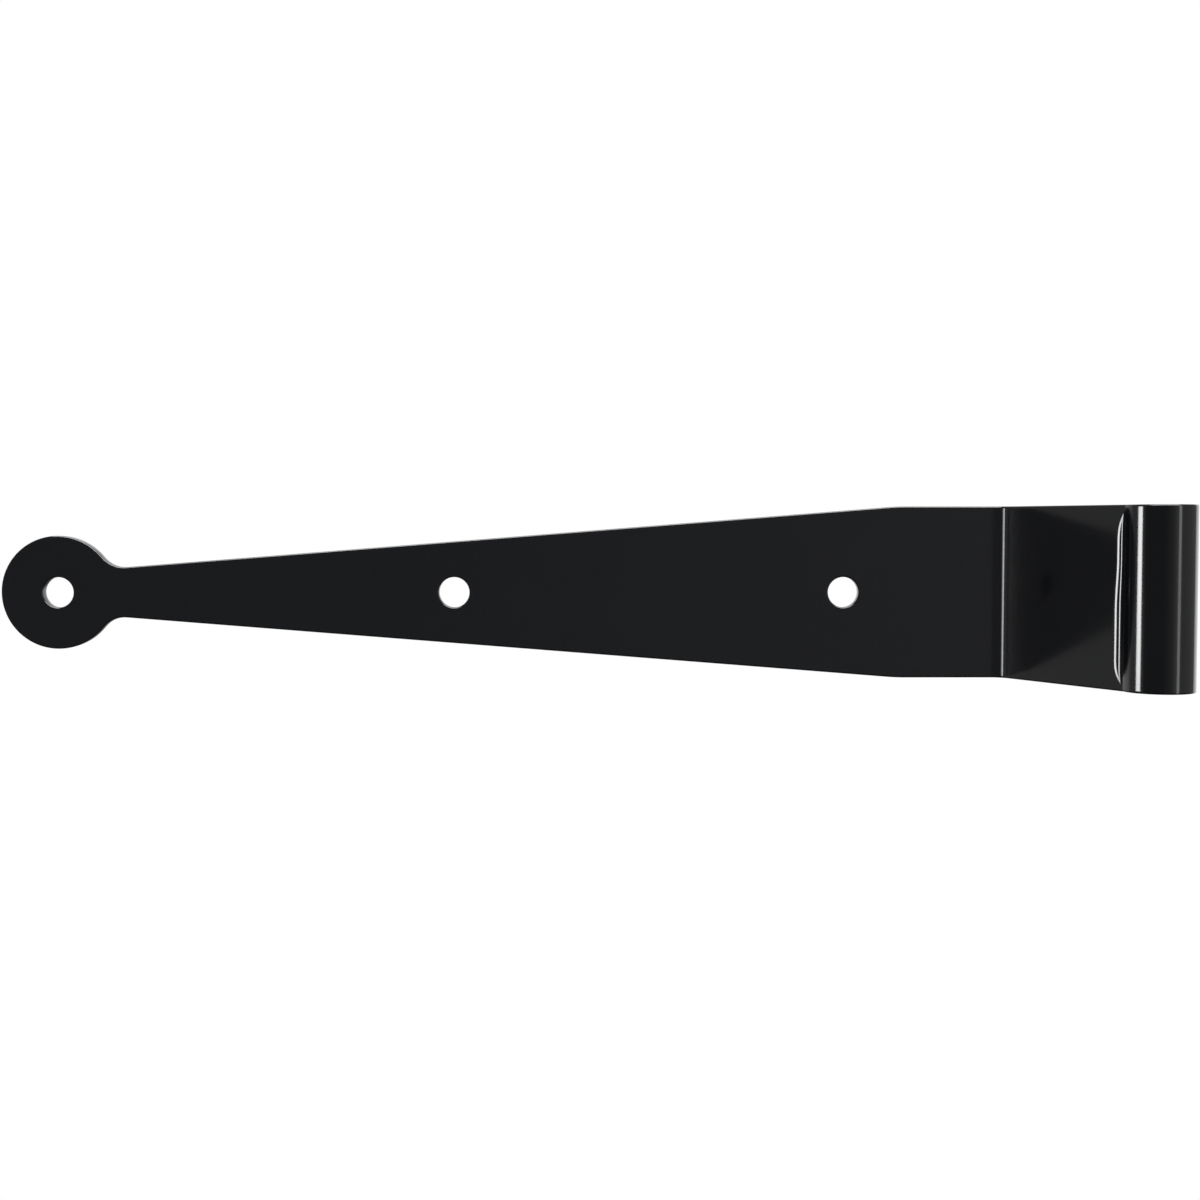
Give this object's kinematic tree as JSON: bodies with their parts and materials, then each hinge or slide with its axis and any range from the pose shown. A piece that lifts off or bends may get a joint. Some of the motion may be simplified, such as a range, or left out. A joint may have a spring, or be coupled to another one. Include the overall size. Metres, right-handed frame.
{
  "type": "shutter strap hinge leaf",
  "caption": "Tapered black steel strap with a round end and bolt holes, cranked outwards and rolled into an eye that turns on a pintle pin.",
  "frame": {"origin": "axis of the rolled eye at the middle of its height, which is the hinge's pin axis", "axes": "+Z along the eye's axis, up; the strap runs to -X; the face that lies on the shutter looks to +Y"},
  "size_m": [0.2542, 0.0405, 0.0382],
  "materials": {
    "black_coat": "smooth satin to gloss black powder coat on steel"
  },
  "bodies": {
    "root": {"strap_leaf": "black_coat"}
  },
  "joints": []
}
